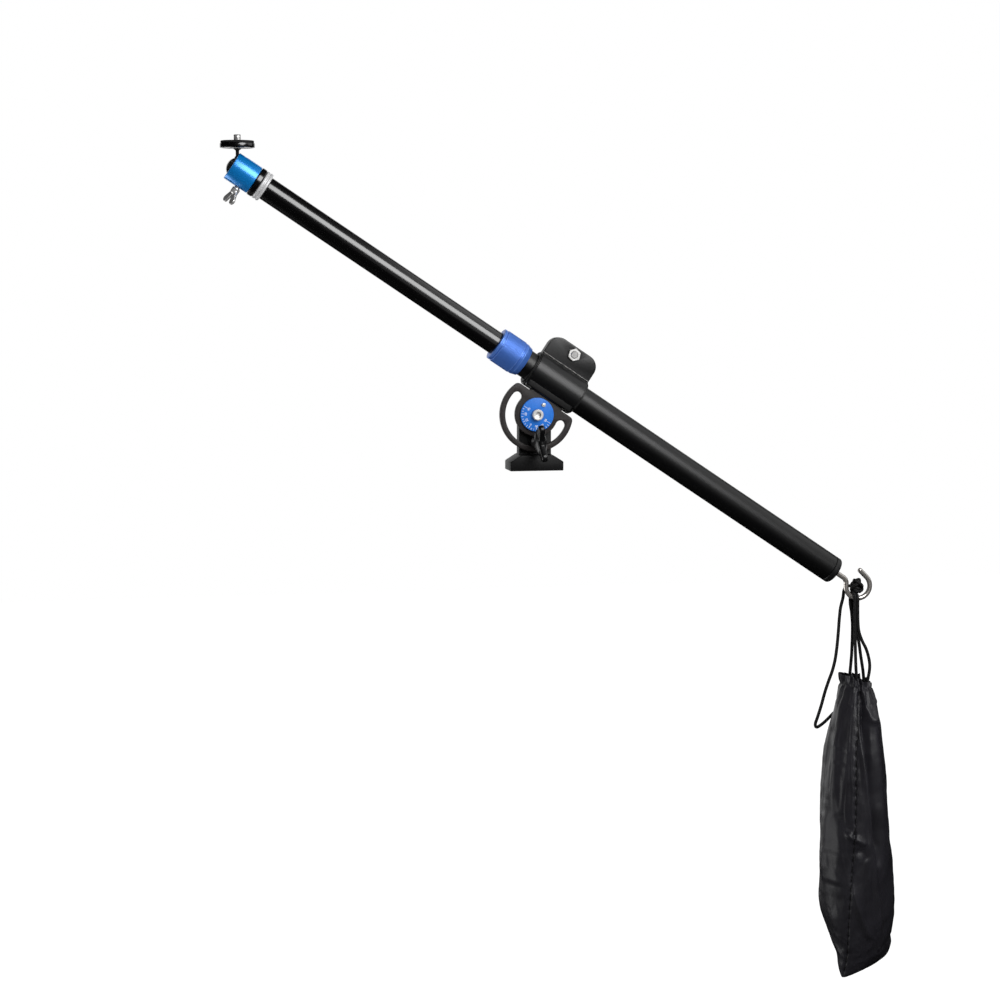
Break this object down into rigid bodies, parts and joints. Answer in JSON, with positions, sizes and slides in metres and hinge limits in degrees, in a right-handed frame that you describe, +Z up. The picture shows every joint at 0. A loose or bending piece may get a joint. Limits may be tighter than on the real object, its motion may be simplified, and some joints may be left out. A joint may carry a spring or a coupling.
{
  "type": "tripod extension arm",
  "caption": "Tilting boom arm with a telescopic tube, a tilt plate with a degree dial, a small ball head and a weight bag on an end hook.",
  "frame": {"origin": "middle of the base's flat underside, where it sits on the tripod's plate", "axes": "+Z up; +X towards the bag end of the boom, which falls 33.7 degrees that way at rest; -Y to the front, the side of the dial and the lock knob"},
  "size_m": [0.63, 0.1044, 0.7672],
  "materials": {
    "cast_black": "fine textured matte black paint on a casting",
    "black_anodised": "black anodised, satin",
    "black_plastic": "moulded, satin",
    "white_nylon": "turned nylon",
    "blue_anodised": "blue anodised, bright",
    "blue_dial": "blue with white scale marks",
    "steel": "polished plated steel",
    "silver": "turned, bright",
    "rubber": "matte rubber",
    "nylon_cloth": "black nylon cloth, fine weave",
    "cord": "black braided cord"
  },
  "bodies": {
    "base": {"base_block": "cast_black", "pivot_bolt": "steel", "pivot_washer": "steel", "pivot_nut": "steel", "friction_washer": "white_nylon", "lock_washer": "steel"},
    "lock": {"lock_knob": "black_plastic", "lock_stud": "steel"},
    "clamp": {"clamp_sleeve": "cast_black", "tilt_plate": "cast_black", "dial": "blue_dial", "dial_screw": "steel", "clamp_nut": "steel", "clamp_washer": "steel"},
    "clamp_screw": {"clamp_knob": "black_plastic", "clamp_stud": "steel"},
    "liner": {"sleeve_liner": "black_plastic"},
    "boom": {"outer_tube": "black_anodised", "end_cap": "black_plastic", "hook": "steel", "hook_nut": "steel", "collet": "white_nylon"},
    "collar": {"twist_collar": "blue_anodised"},
    "inner_arm": {"inner_tube": "black_anodised", "inner_guide_bush": "black_plastic", "tube_front_plug": "silver", "head_base": "black_anodised", "head_stud": "steel", "ball_housing": "blue_anodised", "ball_seat": "white_nylon"},
    "head_screw": {"head_wing_screw": "steel"},
    "ball": {"ball": "steel"},
    "stem": {"ball_stem": "steel"},
    "camera_mount": {"camera_plate": "black_anodised", "camera_pad": "rubber", "camera_screw": "steel"},
    "bag": {"weight_bag": "nylon_cloth", "drawcord_left": "cord", "drawcord_right": "cord", "drawcord_loop": "cord", "cord_knot": "cord"}
  },
  "joints": [
    {"name": "arm_tilt", "type": "hinge", "parent": "base", "child": "clamp", "pos_m": [0, 0, 0.05], "axis": [0, 1, 0], "range_deg": [-112, 48]},
    {"name": "lock_turn", "type": "hinge", "parent": "base", "child": "lock", "pos_m": [0, 0, 0.0262], "axis": [0, -1, 0], "range_deg": [0, 180]},
    {"name": "clamp_turn", "type": "hinge", "parent": "clamp", "child": "clamp_screw", "pos_m": [0.03495, 0, 0.10241], "axis": [0, 1, 0], "range_deg": [0, 180]},
    {"name": "boom_turn", "type": "hinge", "parent": "clamp", "child": "liner", "pos_m": [0.01831, 0, 0.07745], "axis": [0.832, 0, -0.5548], "continuous": true},
    {"name": "boom_slide", "type": "slide", "parent": "liner", "child": "boom", "axis": [-0.832, 0, 0.5548], "range_m": [-0.006, 0.27]},
    {"name": "collar_turn", "type": "hinge", "parent": "boom", "child": "collar", "pos_m": [-0.02204, 0, 0.10436], "axis": [-0.832, 0, 0.5548], "range_deg": [0, 120]},
    {"name": "inner_extend", "type": "slide", "parent": "boom", "child": "inner_arm", "axis": [-0.832, 0, 0.5548], "range_m": [-0.236, 0.03]},
    {"name": "head_screw_turn", "type": "hinge", "parent": "inner_arm", "child": "head_screw", "pos_m": [-0.25349, 0, 0.25872], "axis": [-0.5548, 0, -0.832], "range_deg": [0, 180]},
    {"name": "ball_tilt", "type": "hinge", "parent": "inner_arm", "child": "ball", "pos_m": [-0.26031, 0, 0.26327], "axis": [0, 1, 0], "range_deg": [-92, 33]},
    {"name": "ball_lean", "type": "hinge", "parent": "ball", "child": "stem", "pos_m": [-0.26031, 0, 0.26327], "axis": [1, 0, 0], "range_deg": [-6, 6]},
    {"name": "plate_turn", "type": "hinge", "parent": "stem", "child": "camera_mount", "pos_m": [-0.26031, 0, 0.281], "axis": [0, 0, 1], "continuous": true},
    {"name": "bag_swing", "type": "hinge", "parent": "boom", "child": "bag", "pos_m": [0.30589, 0, -0.11313], "axis": [0, -1, 0], "range_deg": [-60, 95]}
  ]
}
